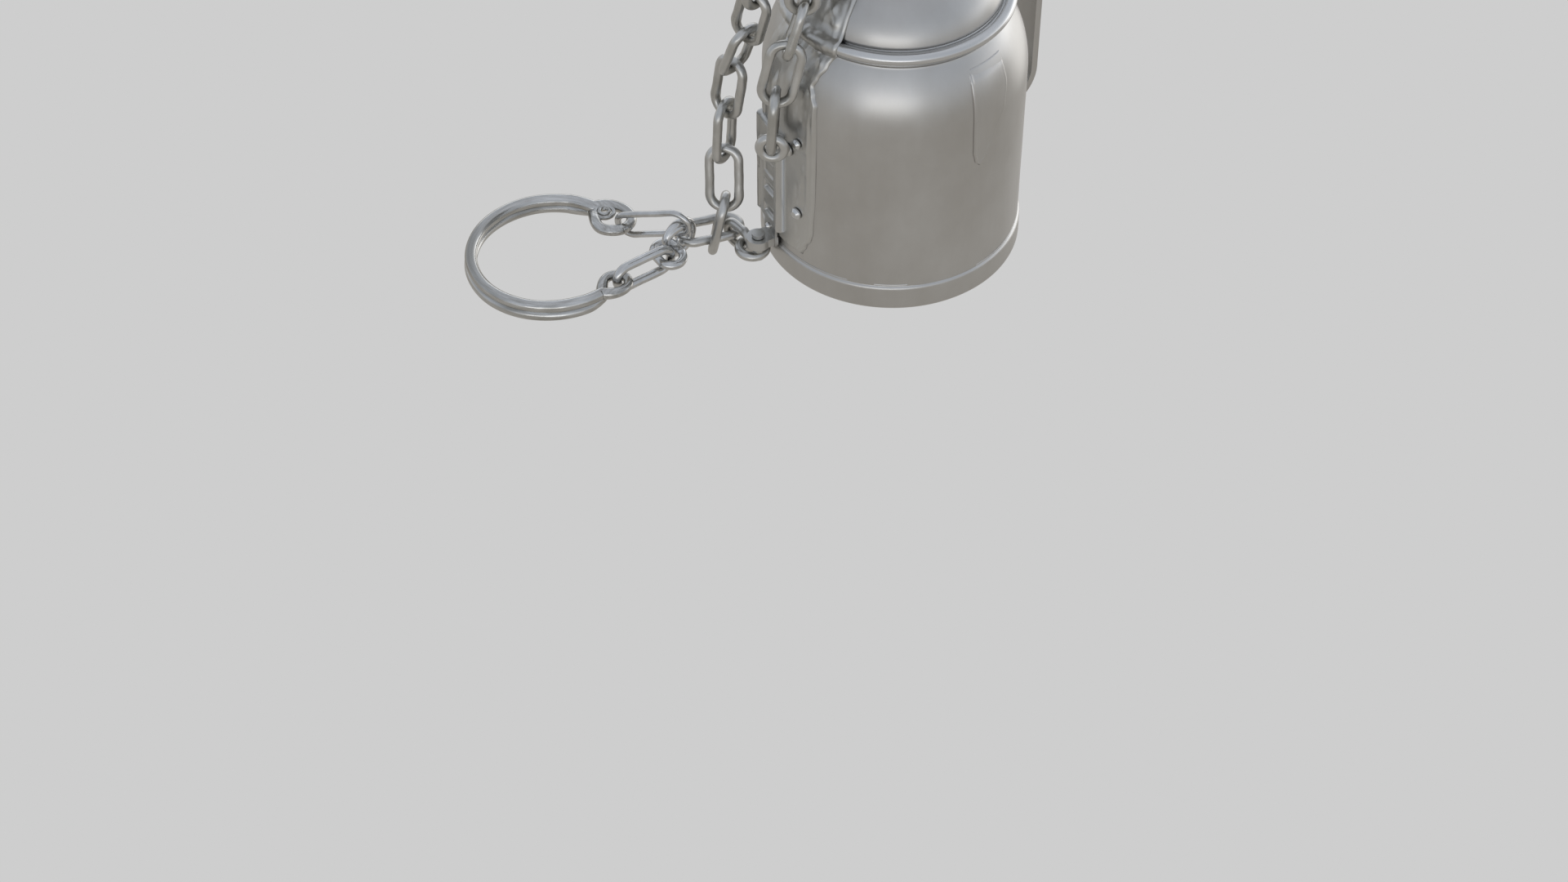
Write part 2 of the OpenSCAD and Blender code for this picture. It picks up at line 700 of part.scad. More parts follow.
// Short link: level, round the coil's left side
short_w = 10.5;
short_run = 7;
short_bend = (short_w - wire) / 2;
short_az = 305;
short_drop = -4;
short_slack = 0.12;
short_dir = [cos(short_az) * cos(short_drop), sin(short_az) * cos(short_drop), sin(short_drop)];
short_hook = coil_c + (coil_bend + 0.2) * coil_dir - [0, 0, 1.7];
short_p = short_hook - (coil_hold - contact_half + short_slack) * short_dir;
short_q = short_p + short_run * short_dir;
short_far = short_q + (contact_half - short_bend) * short_dir;

// Lower link: on edge, from the short link's far bend to the lower eye
lower_w = 11;
lower_dir = unit(flat(lower_eye - short_far));
lower_z = ground_wire_z + (lower_w - wire) / 2;
lower_from = short_far + short_bend * lower_dir;
lower_p = [lower_from[0], lower_from[1], lower_z] - (contact_half + 0.3) * lower_dir;
lower_to = lower_eye - lower_eye_bend * lower_dir;
lower_q = [lower_to[0], lower_to[1], lower_z] + contact_half * lower_dir;

// A link on the line from p to q, turned about that line: 0 stands on edge, 90 lies level
module link_on(p, q, width, turn) {
  d = q - p;
  tip = norm(d) / 2 + contact_half;
  translate((p + q) / 2) rotate([0, 90 - asin(d[2] / norm(d)), atan2(d[1], d[0])])
    rotate([0, 0, turn]) stadium(tip, (width - wire) / 2, wire);
}

module ring_link_upper() {
  color(bright_steel) link_on(upper_p, upper_q, upper_w, upper_turn);
}

module ring_link_short() {
  color(bright_steel) link_on(short_p, short_q, short_w, 90);
}

module ring_link_lower() {
  color(bright_steel) link_on(lower_p, lower_q, lower_w, 0);
}

body_shell();
base_cup();
rolled_bead();
dome();
neck_tube();
neck_thread();
side_strap();
clip_bar();
clip_rivets();
clip_tab();
foot_bracket();
neck_collar();
collar_screw();
guard_eye();
blank_plate();
handle_strap();
handle_pads();
handle_rivets();
cap_shell();
cap_liner();
cap_thread();
cap_gasket();
cap_boss();
cap_swivel_pin();
bail();
top_swivel();
foot_swivel();
junction_link();
foot_link();
chain_link(1);  // chain_link_1
chain_link(2);  // chain_link_2
chain_link(3);  // chain_link_3
chain_link(4);  // chain_link_4
chain_link(5);  // chain_link_5
chain_link(6);  // chain_link_6
guard_link(1);  // guard_link_1
guard_link(2);  // guard_link_2
guard_link(3);  // guard_link_3
coil_ring();
ring_link_upper();
ring_link_short();
ring_link_lower();
belt_ring();
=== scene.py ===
import json
import math
import bpy
import numpy as np
from mathutils import Matrix, Vector, noise


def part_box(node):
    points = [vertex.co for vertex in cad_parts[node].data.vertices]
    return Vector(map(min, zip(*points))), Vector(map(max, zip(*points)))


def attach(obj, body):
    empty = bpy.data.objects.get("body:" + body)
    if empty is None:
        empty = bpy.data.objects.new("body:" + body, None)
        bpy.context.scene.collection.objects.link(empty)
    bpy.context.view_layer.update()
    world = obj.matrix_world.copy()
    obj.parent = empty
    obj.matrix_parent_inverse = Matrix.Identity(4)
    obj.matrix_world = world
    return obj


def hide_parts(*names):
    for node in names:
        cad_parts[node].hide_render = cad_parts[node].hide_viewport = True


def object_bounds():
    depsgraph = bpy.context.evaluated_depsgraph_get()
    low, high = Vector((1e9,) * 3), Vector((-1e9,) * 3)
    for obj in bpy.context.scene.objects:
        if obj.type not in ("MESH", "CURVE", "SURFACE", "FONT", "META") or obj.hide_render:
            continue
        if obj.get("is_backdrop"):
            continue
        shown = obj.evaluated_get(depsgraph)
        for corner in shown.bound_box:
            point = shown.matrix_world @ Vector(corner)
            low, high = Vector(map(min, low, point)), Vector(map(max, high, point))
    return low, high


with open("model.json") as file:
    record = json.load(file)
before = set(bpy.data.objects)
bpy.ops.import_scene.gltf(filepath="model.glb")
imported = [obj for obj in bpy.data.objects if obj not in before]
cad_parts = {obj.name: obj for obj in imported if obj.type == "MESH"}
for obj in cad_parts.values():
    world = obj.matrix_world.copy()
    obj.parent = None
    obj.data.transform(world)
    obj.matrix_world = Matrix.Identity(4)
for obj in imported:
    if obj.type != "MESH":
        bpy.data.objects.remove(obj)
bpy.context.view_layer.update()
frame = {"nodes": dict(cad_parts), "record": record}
record_nodes = frame["nodes"]
record = frame["record"]
body_of = {n: b for b, names in record["behaviour"]["bodies"].items() for n in names}
slot_of = {s["node"]: s["material_slot"] for s in record["subparts"]}
MM = 0.001


# ---- Material helpers ----------------------------------------------------

def new_material(name):
    mat = bpy.data.materials.new(name)
    mat.use_nodes = True
    return mat, mat.node_tree.nodes, mat.node_tree.links, mat.node_tree.nodes["Principled BSDF"]


def noise_node(nodes, links, coord, scale, detail=4.0, rough=0.55, stretch=None):
    tex = nodes.new("ShaderNodeTexNoise")
    tex.inputs["Scale"].default_value = scale
    tex.inputs["Detail"].default_value = detail
    tex.inputs["Roughness"].default_value = rough
    if stretch:
        mapping = nodes.new("ShaderNodeMapping")
        mapping.inputs["Scale"].default_value = stretch
        links.new(coord, mapping.inputs["Vector"])
        links.new(mapping.outputs["Vector"], tex.inputs["Vector"])
    else:
        links.new(coord, tex.inputs["Vector"])
    return tex.outputs["Fac"]


def ramp_node(nodes, links, source, stops):
    ramp = nodes.new("ShaderNodeValToRGB")
    while len(ramp.color_ramp.elements) < len(stops):
        ramp.color_ramp.elements.new(0.5)
    for e, (pos, col) in zip(ramp.color_ramp.elements, stops):
        e.position = pos
        e.color = (*col, 1)
    links.new(source, ramp.inputs["Fac"])
    return ramp.outputs["Color"]


def range_node(nodes, links, source, low, high, start=0.3, end=0.7):
    node = nodes.new("ShaderNodeMapRange")
    node.inputs["From Min"].default_value = start
    node.inputs["From Max"].default_value = end
    node.inputs["To Min"].default_value = low
    node.inputs["To Max"].default_value = high
    links.new(source, node.inputs["Value"])
    return node.outputs["Result"]


def math_node(nodes, links, kind, a, b=None):
    node = nodes.new("ShaderNodeMath")
    node.operation = kind
    for socket, value in zip(node.inputs, (a, b)):
        if isinstance(value, (int, float)):
            socket.default_value = value
        elif value is not None:
            links.new(value, socket)
    return node.outputs["Value"]


def bump_node(nodes, links, height, distance, strength=0.6, under=None):
    node = nodes.new("ShaderNodeBump")
    node.inputs["Strength"].default_value = strength
    node.inputs["Distance"].default_value = distance
    links.new(height, node.inputs["Height"])
    if under is not None:
        links.new(under, node.inputs["Normal"])
    return node.outputs["Normal"]


def around_axis(nodes, links, at, centre):
    """Coordinates that vary with distance from a vertical axis and with height, so streaks, such as the
    belt ring's painted reflections, run round it.
    """
    shift = nodes.new("ShaderNodeVectorMath")
    shift.operation = "MULTIPLY_ADD"
    shift.inputs[1].default_value = (1, 1, 0)
    shift.inputs[2].default_value = (-centre[0], -centre[1], 0)
    links.new(at, shift.inputs[0])
    size = nodes.new("ShaderNodeVectorMath")
    size.operation = "LENGTH"
    links.new(shift.outputs["Vector"], size.inputs[0])
    parts = nodes.new("ShaderNodeSeparateXYZ")
    links.new(at, parts.inputs["Vector"])
    joined = nodes.new("ShaderNodeCombineXYZ")
    links.new(size.outputs["Value"], joined.inputs["X"])
    links.new(parts.outputs["Z"], joined.inputs["Y"])
    links.new(math_node(nodes, links, "MULTIPLY", parts.outputs["X"], 0.12), joined.inputs["Z"])
    return joined.outputs["Vector"]


def steel(name, low, high, rough, mottle, grain, stretch, ripple, edge=None, axis=None):
    """Worn steel: blotchy tone, streaks, uneven gloss, soft ripples and, if asked, pale edges. A wide tone
    range, as on the belt ring, makes the streaks painted reflections.
    """
    mat, nodes, links, bsdf = new_material(name)
    at = nodes.new("ShaderNodeTexCoord").outputs["Object"]
    if axis:
        at = around_axis(nodes, links, at, axis)
    bsdf.inputs["Metallic"].default_value = 1.0
    blotch = noise_node(nodes, links, at, mottle, 5, 0.6)
    streak = noise_node(nodes, links, at, mottle * 3, 5, 0.6, stretch)
    both = math_node(nodes, links, "ADD", math_node(nodes, links, "MULTIPLY", blotch, 0.6),
                     math_node(nodes, links, "MULTIPLY", streak, 0.4))
    tone = ramp_node(nodes, links, both, [(0.36, low), (0.64, high)])
    if edge:
        wear = nodes.new("ShaderNodeNewGeometry").outputs["Pointiness"]
        worn = range_node(nodes, links, wear, 0.0, 0.5, 0.52, 0.60)
        mix = nodes.new("ShaderNodeMixRGB")
        mix.inputs["Color2"].default_value = (*edge, 1)
        links.new(worn, mix.inputs["Fac"])
        links.new(tone, mix.inputs["Color1"])
        tone = mix.outputs["Color"]
    links.new(tone, bsdf.inputs["Base Color"])
    links.new(range_node(nodes, links, streak, rough[0], rough[1]), bsdf.inputs["Roughness"])
    fine = bump_node(nodes, links, noise_node(nodes, links, at, grain, 3, 0.5, stretch), ripple[0], 0.4)
    wide = bump_node(nodes, links, noise_node(nodes, links, at, mottle * 2.2, 2, 0.4), ripple[1], 0.5, fine)
    links.new(wide, bsdf.inputs["Normal"])
    return mat


def matte(name, low, high, rough, scale):
    """Moulded plastic or rubber with a fine grain."""
    mat, nodes, links, bsdf = new_material(name)
    at = nodes.new("ShaderNodeTexCoord").outputs["Object"]
    tone = noise_node(nodes, links, at, scale, 4)
    links.new(ramp_node(nodes, links, tone, [(0.35, low), (0.65, high)]), bsdf.inputs["Base Color"])
    bsdf.inputs["Roughness"].default_value = rough
    links.new(bump_node(nodes, links, tone, 0.0001, 0.3), bsdf.inputs["Normal"])
    return mat


SATIN = steel("satin_steel", (0.505, 0.492, 0.470), (0.590, 0.583, 0.567), (0.30, 0.36), 26, 700,
              (1, 1, 0.25), (0.000006, 0.00005))
SHEET = steel("strap_steel", (0.52, 0.512, 0.487), (0.59, 0.583, 0.56), (0.32, 0.42), 60, 500,
              (1, 1, 0.2), (0.00001, 0.0001), (0.62, 0.62, 0.61))
BEAD = steel("bead_steel", (0.60, 0.598, 0.59), (0.66, 0.66, 0.655), (0.22, 0.26), 40, 600,
             (1, 1, 0.3), (0.000002, 0.00003))
LINK = steel("link_steel", (0.46, 0.455, 0.43), (0.63, 0.622, 0.60), (0.26, 0.36), 90, 260,
             (1, 1, 0.25), (0.000004, 0.00010))
RING = steel("ring_steel", (0.46, 0.455, 0.44), (0.70, 0.70, 0.695), (0.12, 0.24), 60, 220,
             (1, 1, 1), (0.000004, 0.00010))
# The belt ring's tone runs in streaks round it from dark brown to pale. Besides the wire's own uneven tone,
# these streaks are painted reflections of the dark ground and bright sky.
BELT_PAINTED_REFLECTION = steel("belt_ring_painted_reflection_steel", (0.34, 0.33, 0.305), (0.68, 0.68, 0.67), (0.12, 0.24), 420, 500,
             (1, 1, 1), (0.00001, 0.00012), None, (-0.1052, -0.0194))
PLASTIC = matte("cap_plastic", (0.15, 0.15, 0.16), (0.19, 0.19, 0.20), 0.5, 400)
RUBBER = matte("gasket_rubber", (0.10, 0.10, 0.11), (0.13, 0.13, 0.14), 0.7, 300)


# ---- Mesh helpers --------------------------------------------------------

def piece(name, verts, faces, material, *nodes):
    """A smooth mesh piece that stands for the named CAD nodes and rides on their body."""
    mesh = bpy.data.meshes.new(name)
    mesh.from_pydata([tuple(v) for v in verts], [], faces)
    mesh.validate()
    mesh.update()
    mesh.shade_smooth()
    mesh.materials.append(material)
    obj = bpy.data.objects.new(name, mesh)
    bpy.context.scene.collection.objects.link(obj)
    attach(obj, body_of[nodes[0]])
    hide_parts(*nodes)
    return obj


def rough_at(p, scale, seed=0.0):
    """Smooth repeatable noise between about -1 and 1 at a point in millimetres."""
    return noise.noise(Vector((p[0] * scale + seed, p[1] * scale - seed, p[2] * scale + 2 * seed)))


def sweep(points, section, closed=False):
    """Carry a cross-section along points. section(i, count) lists (across, up) offsets."""
    count = len(points)
    tangents = []
    for i in range(count):
        before = points[(i - 1) % count] if closed or i else points[0]
        after = points[(i + 1) % count] if closed or i < count - 1 else points[-1]
        tangents.append((after - before).normalized())
    normal = tangents[0].orthogonal().normalized()
    normals = [normal]
    for a, b in zip(tangents, tangents[1:]):
        normal = a.rotation_difference(b) @ normal
        normals.append((normal - b * normal.dot(b)).normalized())
    if closed:
        end = tangents[-1].rotation_difference(tangents[0]) @ normals[-1]
        slip = math.atan2(tangents[0].dot(end.cross(normals[0])), end.dot(normals[0]))
        normals = [Matrix.Rotation(slip * i / count, 3, t) @ n
                   for i, (t, n) in enumerate(zip(tangents, normals))]
    verts, faces = [], []
    for i, (p, t, n) in enumerate(zip(points, tangents, normals)):
        side = t.cross(n)
        ring = section(i, count)
        verts += [p + n * a + side * b for a, b in ring]
    size = len(ring)
    for i in range(count if closed else count - 1):
        j = (i + 1) % count
        for k in range(size):
            m = (k + 1) % size
            faces.append((i * size + k, i * size + m, j * size + m, j * size + k))
    if not closed:
        faces.append(tuple(reversed(range(size))))
        faces.append(tuple(range((count - 1) * size, count * size)))
    return verts, faces


def wire_section(radius, uneven, seed, weld_at=None, points=None, segments=20, taper=None):
    """A hand-made wire's outline: a little flat, a little uneven, thicker at the weld."""
    def section(i, count):
        here = points[i]
        r = radius
        if weld_at is not None:
            away = abs((i / count - weld_at + 0.5) % 1 - 0.5)
            r *= 1 + 0.07 * math.exp(-(away / 0.022) ** 2)
        if taper:
            r *= taper(i / (count - 1))
        ring = []
        for k in range(segments):
            a = 2 * math.pi * k / segments
            bump = uneven * (rough_at(here / MM + Vector((math.cos(a), math.sin(a), 0)), 0.36, seed)
                             + 0.3 * rough_at(here / MM + Vector((math.cos(a), math.sin(a), 1)), 0.8, seed))
            ring.append((r * (1 + bump) * math.cos(a), r * (0.97 + bump) * math.sin(a)))
        return ring
    return section


def node_frame(node):
    """A link's centre, its long, wide and thin directions, and its half sizes."""
    mesh = record_nodes[node].data
    pts = np.empty(len(mesh.vertices) * 3)
    mesh.vertices.foreach_get("co", pts)
    pts = pts.reshape(-1, 3)
    low, high = (np.array(v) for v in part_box(node))
    mid = (low + high) / 2
    spread = pts - pts.mean(axis=0)
    axes = np.linalg.eigh(spread.T @ spread)[1][:, ::-1].T
    along = (pts - mid) @ axes.T
    centre = mid + axes.T @ ((along.max(axis=0) + along.min(axis=0)) / 2)
    half = (along.max(axis=0) - along.min(axis=0)) / 2
    return Vector(centre), [Vector(a) for a in axes], half


def link_piece(node, material, seed, uneven=0.055, slim=0.985):
    """A welded chain link built on a CAD link's own axes. slim is its wire's share of the CAD wire."""
    centre, (long_dir, wide_dir, thin_dir), half = node_frame(node)
    r = half[2] * slim
    bend = half[1] - r
    leg = half[0] - half[1]
    points, steps = [], 26
    for s in (1, -1):
        for i in range(steps):
            a = math.pi * i / steps
            x = bend * math.cos(a)
            y = leg + bend * math.sin(a)
            points.append((s * x, s * y))
        for i in range(10):
            points.append((-s * bend, s * leg * (1 - 2 * i / 10)))
    path = []
    for x, y in points:
        p = centre + wide_dir * x + long_dir * y
        sway = 0.12 * rough_at(p / MM, 0.13, seed) * MM
        path.append(p + thin_dir * sway)
    sect = wire_section(r, uneven, seed, 0.86, path)
    verts, faces = sweep(path, sect, True)
    return piece(node + "_wire", verts, faces, material, node)


def lathe(name, profile, material, *nodes, steps=256, dent=0.0, seed=0.0):
    """Spin a profile in millimetres about Z, with soft dents."""
    verts, faces = [], []
    for i in range(steps):
        a = 2 * math.pi * i / steps
        for r, z in profile:
            w = r
            if dent and r > 5:
                w += dent * rough_at((r * math.cos(a), r * math.sin(a), z), 0.05, seed)
            verts.append((w * math.cos(a) * MM, w * math.sin(a) * MM, z * MM))
    n = len(profile)
    for i in range(steps):
        j = (i + 1) % steps
        for k in range(n):
            m = (k + 1) % n
            faces.append((i * n + k, j * n + k, j * n + m, i * n + m))
    return piece(name, verts, faces, material, *nodes)


def arc(cx, cz, r, a0, a1, n):
    return [(cx + r * math.cos(math.radians(a0 + (a1 - a0) * i / n)),
             cz + r * math.sin(math.radians(a0 + (a1 - a0) * i / n))) for i in range(n + 1)]


def blend_over(x, table):
    """Smooth steps through a table of (x, value)."""
    if x <= table[0][0]:
        return table[0][1]
    for (x0, v0), (x1, v1) in zip(table, table[1:]):
        if x <= x1:
            t = (x - x0) / (x1 - x0)
            return v0 + (v1 - v0) * t * t * (3 - 2 * t)
    return table[-1][1]


# ---- The bottle's skin ---------------------------------------------------

WALL_R = 39.75
SHOULDER_Z, SHOULDER_TOP_Z, SHOULDER_TOP_R = 65.0, 87.2, 32.6
BEAD_R, BEAD_Z, BEAD_T = 33.4, 91.2, 1.9
DOME_R, DOME_LOW, DOME_R0, DOME_Z0 = 19.0, 12.0, 31.6, 93.2
SHEET_T = 0.8
SHOULDER_CURVE = 44
swing = math.acos(1 - (WALL_R - SHOULDER_TOP_R) / SHOULDER_CURVE)
rise = (SHOULDER_TOP_Z - SHOULDER_Z) / math.sin(swing)


def shoulder(t, n=40):
    return [(WALL_R + t * math.cos(swing * i / n) - SHOULDER_CURVE * (1 - math.cos(swing * i / n)),
             SHOULDER_Z + t * math.sin(swing * i / n) + rise * math.sin(swing * i / n))
            for i in range(n + 1)]


dome_cx = DOME_R0 - DOME_R * math.cos(math.radians(DOME_LOW))
dome_cz = DOME_Z0 - DOME_R * math.sin(math.radians(DOME_LOW))


def dome_line(t, a0=DOME_LOW, a1=78, n=36):
    return arc(dome_cx, dome_cz, DOME_R + t, a0, a1, n)


wall = [(WALL_R, 4.5 + i * (SHOULDER_Z - 4.5) / 30) for i in range(30)]
inner = [(r - SHEET_T, z) for r, z in wall]
lathe("body_skin", wall + shoulder(0) + [(SHOULDER_TOP_R - 0.25, 88.6), (31.2, 88.6)]
      + shoulder(-SHEET_T)[::-1] + inner[::-1], SATIN, "body_shell", dent=0.10, seed=3)
lathe("dome_skin", [(30.0, 92.0), (31.3, 92.2)] + dome_line(0) + dome_line(-SHEET_T)[::-1],
      SATIN, "dome", dent=0.08, seed=7)
lathe("bead_roll", [(32.0, 86.9), (32.72, 87.4), (32.95, 88.2), (33.4, 88.85), (34.2, 89.1)]
      + arc(BEAD_R, BEAD_Z, BEAD_T, -48, 108, 24)
      + [(32.35, 92.3), (32.05, 91.7), (31.75, 91.5), (31.5, 92.2), (31.4, 93.3), (30.9, 93.0),
         (30.6, 92.0), (30.6, 88.5), (31.2, 87.2)], BEAD, "rolled_bead", dent=0.05, seed=5)
lathe("base_lip", [(0.3, 0.0), (26.0, 0.0), (27.5, 1.2), (33.0, 1.2), (34.5, 0.05)]
      + arc(38.3, 2.1, 2.1, -86, 0, 12) + [(40.4, 4), (40.4, 6.5)]
      + arc(38.8, 8.2, 1.6, 0, 52, 10) + [(39.78, 9.7), (39.78, 10.2), (39.76, 10.2), (39.5, 4.1),
         (37.75, 2.1), (0.3, 2.1)], SATIN, "base_cup", dent=0.06, seed=9)


# ---- Sheets that lie on the skin ------------------------------------------

STRAP_Z0 = 12.8


def skin_path():
    """The line that a sheet follows from the wall, over the bead, up the dome."""
    pts = [(WALL_R, STRAP_Z0 + i * (SHOULDER_Z - STRAP_Z0) / 50) for i in range(50)]
    pts += shoulder(0, 36)[:-1]
    pts += [(32.75, 87.6), (33.5, 88.4), (34.4, 89.1)]
    pts += arc(BEAD_R, BEAD_Z, BEAD_T, -40, 80, 14)
    pts += [(33.0, 93.3), (32.3, 93.6)]
    pts += dome_line(0.1, 20, 68, 24)
    return pts


def skin_piece(name, rows, edges, height, material, *nodes, columns=90):
    """A closed sheet on the bottle. edges(z) gives its two azimuths.

    height gives its relief at an azimuth, a height, a share of the way up and the two edges.
    """
    verts, faces = [], []
    count = len(rows)
    for layer in (0, 1):
        for i, (r, z) in enumerate(rows):
            a, b = rows[max(i - 1, 0)], rows[min(i + 1, count - 1)]
            tr, tz = b[0] - a[0], b[1] - a[1]
            size = math.hypot(tr, tz)
            nr, nz = tz / size, -tr / size
            left, right = edges(z)
            for k in range(columns + 1):
                az = left + (right - left) * (k / columns)
                h = 0.04 if layer else height(az, z, i / (count - 1), left, right, r)
                c, d = math.cos(math.radians(az)), math.sin(math.radians(az))
                rr, zz = r + h * nr, z + h * nz
                verts.append((rr * c * MM, rr * d * MM, zz * MM))
    w = columns + 1
    back = count * w
    for i in range(count - 1):
        for k in range(columns):
            p = i * w + k
            faces.append((p, p + 1, p + w + 1, p + w))
            faces.append((back + p, back + p + w, back + p + w + 1, back + p + 1))
    rim = [k for k in range(w)] + [i * w + w - 1 for i in range(1, count)]
    rim += [(count - 1) * w + k for k in range(w - 2, -1, -1)] + [i * w for i in range(count - 2, 0, -1)]
    for a, b in zip(rim, rim[1:] + rim[:1]):
        faces.append((a, back + a, back + b, b))
    return piece(name, verts, faces, material, *nodes)


def shelf(distance, width):
    """0 at an edge, 1 beyond width, rounded between."""
    t = min(max(distance / width, 0.0), 1.0)
    return math.sqrt(1 - (1 - t) ** 2)


# The strap's edges as (height, azimuth), and its lumps as (azimuth, height, width, relief)
STRAP_RIGHT = [(STRAP_Z0, -133.5), (16.7, -131.1), (20, -128.6), (23, -127.6), (38, -126.6), (63, -126.2),
               (72, -126.6), (75, -128.6), (77.5, -130.4), (80, -128.9), (84, -125.8), (90, -121.0),
               (98, -120.0), (104, -119.2)]
STRAP_LEFT = [(STRAP_Z0, -168), (80, -169), (90, -168), (104, -165)]
LUMPS = [(-127.3, 89.2, 1.2, 0.45), (-134.5, 87.1, 1.4, 0.6), (-130.1, 84.3, 1.3, 0.5),
         (-131.0, 100, 2.2, 0.5), (-126.5, 97, 1.6, 0.4), (-137.5, 81, 1.6, 0.5),
         (-131.5, 55, 1.1, 0.3), (-132.0, 47, 0.9, 0.25), (-134.0, 41, 1.4, 0.3), (-133, 65, 1.3, 0.3)]


# The sheet's own relief, a ridge on its leaf, and the bar's run further up the sheet
STAND_OFF, STRAP_THIN, RIDGE_AZ = 0.05, 0.45, -130.2
RAISED_LEFT, RAISED_RIGHT, RAISED_T, CHANNEL_AZ = -164, -151.5, 1.6, -157.8


def lump(az, z, r):
    total = 0.0
    for laz, lz, wide, tall in LUMPS:
        dx = math.radians(az - laz) * r
        d2 = (dx * dx + (z - lz) ** 2) / (wide * wide)
        if d2 < 9:
            total += tall * math.exp(-d2)
    return total


def strap_edges(z):
    return blend_over(z, STRAP_LEFT), blend_over(z, STRAP_RIGHT)


def strap_height(az, z, v, left, right, r):
    """A thin sheet with a thicker leaf on it, a folded rim and melted-looking waves."""
    here = (r * math.cos(math.radians(az)), r * math.sin(math.radians(az)), z)
    side = math.radians(right - az) * r
    other = math.radians(az - left) * r
    thin = STRAP_THIN * shelf(min(side, other), 0.9)
    fade = blend_over(z, [(74, 1.0), (78, 0.25), (104, 0.15)])
    leaf = 0.45 * shelf(side - 0.4, 1.2) * fade * shelf(other, 2)
    rim = 0.30 * math.exp(-((side - 0.9) / 0.55) ** 2)
    rim *= blend_over(z, [(60, 0.35), (70, 1), (76, 0.8), (80, 0.3)])
    ridge = 0.22 * math.exp(-((math.radians(az - RIDGE_AZ) * r) / 0.7) ** 2)
    ridge *= blend_over(z, [(30, 0), (38, 1), (60, 1), (72, 0)])
    folds = 0.27 * rough_at((here[0] * 1.2, here[1] * 1.2, z * 0.45), 0.42, 4) * blend_over(
        z, [(60, 0.25), (78, 1.0), (104, 1.0)])
    ends = shelf(min(v, 1 - v) * 110, 1.2)
    raised = shelf(min(math.radians(az - RAISED_LEFT) * r, math.radians(RAISED_RIGHT - az) * r), 1.2)
    raised *= blend_over(z, [(49, 0.0), (51, 1.0), (70, 1.0), (77, 0.0)])
    if raised > 0:
        x = math.radians(az - CHANNEL_AZ) * r
        channel = 0.6 * shelf(2.6 - abs(x), 0.6)
        return STAND_OFF + max(STRAP_THIN, raised * (RAISED_T - channel))
    return STAND_OFF + ends * max(0.0, thin + leaf + rim + ridge + (folds + lump(az, z, r)) * shelf(
        min(side, other), 1.5))


skin_piece("strap_sheet", skin_path(), strap_edges, strap_height, SHEET, "side_strap", columns=130)

BAR_LEFT, BAR_RIGHT, BAR_IN, BAR_T = -165.4, -144.4, 40.6, 2.5
BAR_Z0, BAR_Z1 = 17.0, 55.0
RIVET_AZ, RIVET_Z, RIVET_SEAT = -156.3, 46, 43.68
WINDOWS = [(20.4, 24.2), (29.8, 33.4), (36.5, 41.5)]


def bar_height(az, z, v, left, right, r):
    """A pressed channel: rolled side rails, framed windows and a slot."""
    x = math.radians(az - left) * r
    wide = math.radians(right - left) * r
    edge = min(x, wide - x, z - BAR_Z0, BAR_Z1 - z)
    h = (BAR_T - 0.4) * shelf(edge, 0.9)
    rail = 0.35 * (math.exp(-((wide - x - 1.2) / 0.7) ** 2) + 0.7 * math.exp(-((x - 1.0) / 0.7) ** 2))
    h -= 0.2 * shelf(min(x - 2.2, wide - x - 2.4), 0.6)
    for low, high in WINDOWS:
        d = min(x - 6.2, wide - 2.7 - x, z - low, high - z)
        h -= (1.1 if low < 36 else 0.35) * shelf(d, 0.5)
        h += 0.22 * math.exp(-(d / 0.4) ** 2)
    h -= 0.6 * math.exp(-((x - 2.0) / 0.35) ** 2) * blend_over(z, [(17, 0), (19, 1), (33, 1), (35, 0)])
    here = (r * math.cos(math.radians(az)), r * math.sin(math.radians(az)), z)
    away = math.hypot(math.radians(az - RIVET_AZ) * r, z - RIVET_Z)
    seat = RIVET_SEAT - BAR_IN - h
    h += seat * shelf(3.4 - away, 1.3)
    return max(0.04, h + rail + 0.12 * rough_at(here, 0.22, 8) * shelf(edge, 0.9))


rows = [(BAR_IN, BAR_Z0 + (BAR_Z1 - BAR_Z0) * i / 190) for i in range(191)]
skin_piece("clip_channel", rows, lambda z: (BAR_LEFT, BAR_RIGHT), bar_height, SHEET, "clip_bar",
           columns=80)

PLATE_Z0, PLATE_Z1 = 50.8, 83.8
# The plate's edges as (height, azimuth)
PLATE_LEFT = [(PLATE_Z0, -52.8), (52.5, -54.8), (56, -55.9), (66, -56.4), (76, -56.2), (PLATE_Z1, -55.5)]
PLATE_RIGHT = [(PLATE_Z0, -51.6), (54, -48.6), (60, -43.5), (68, -37.5), (76, -34.2),
               (PLATE_Z1, -33.6)]


def plate_height(az, z, v, left, right, r):
    """A low plate with a crisp left edge that sinks into the shoulder at the top."""
    side = min(math.radians(az - left) * r, math.radians(right - az) * r)
    crisp = blend_over(az, [(-56, 0.42), (-50, 0.30), (-38, 0.16), (-33, 0.10)])
    lip = 0.5 * crisp * math.exp(-((side - 0.55) / 0.4) ** 2)
    top = shelf(PLATE_Z1 - z, 9.0)
    sunk = blend_over(z, [(79.5, 0.0), (83.5, 0.35)])
    return 0.03 - sunk + crisp * shelf(side, 0.5) * top + lip * top


rows = [(WALL_R, PLATE_Z0 + i * (SHOULDER_Z - PLATE_Z0) / 30) for i in range(30)]
rows += [(r, z) for r, z in shoulder(0, 40) if z < PLATE_Z1]
skin_piece("blank_shield", rows, lambda z: (blend_over(z, PLATE_LEFT), blend_over(z, PLATE_RIGHT)),
           plate_height, SATIN, "blank_plate", columns=60)

# ---- Chain links -----------------------------------------------------------

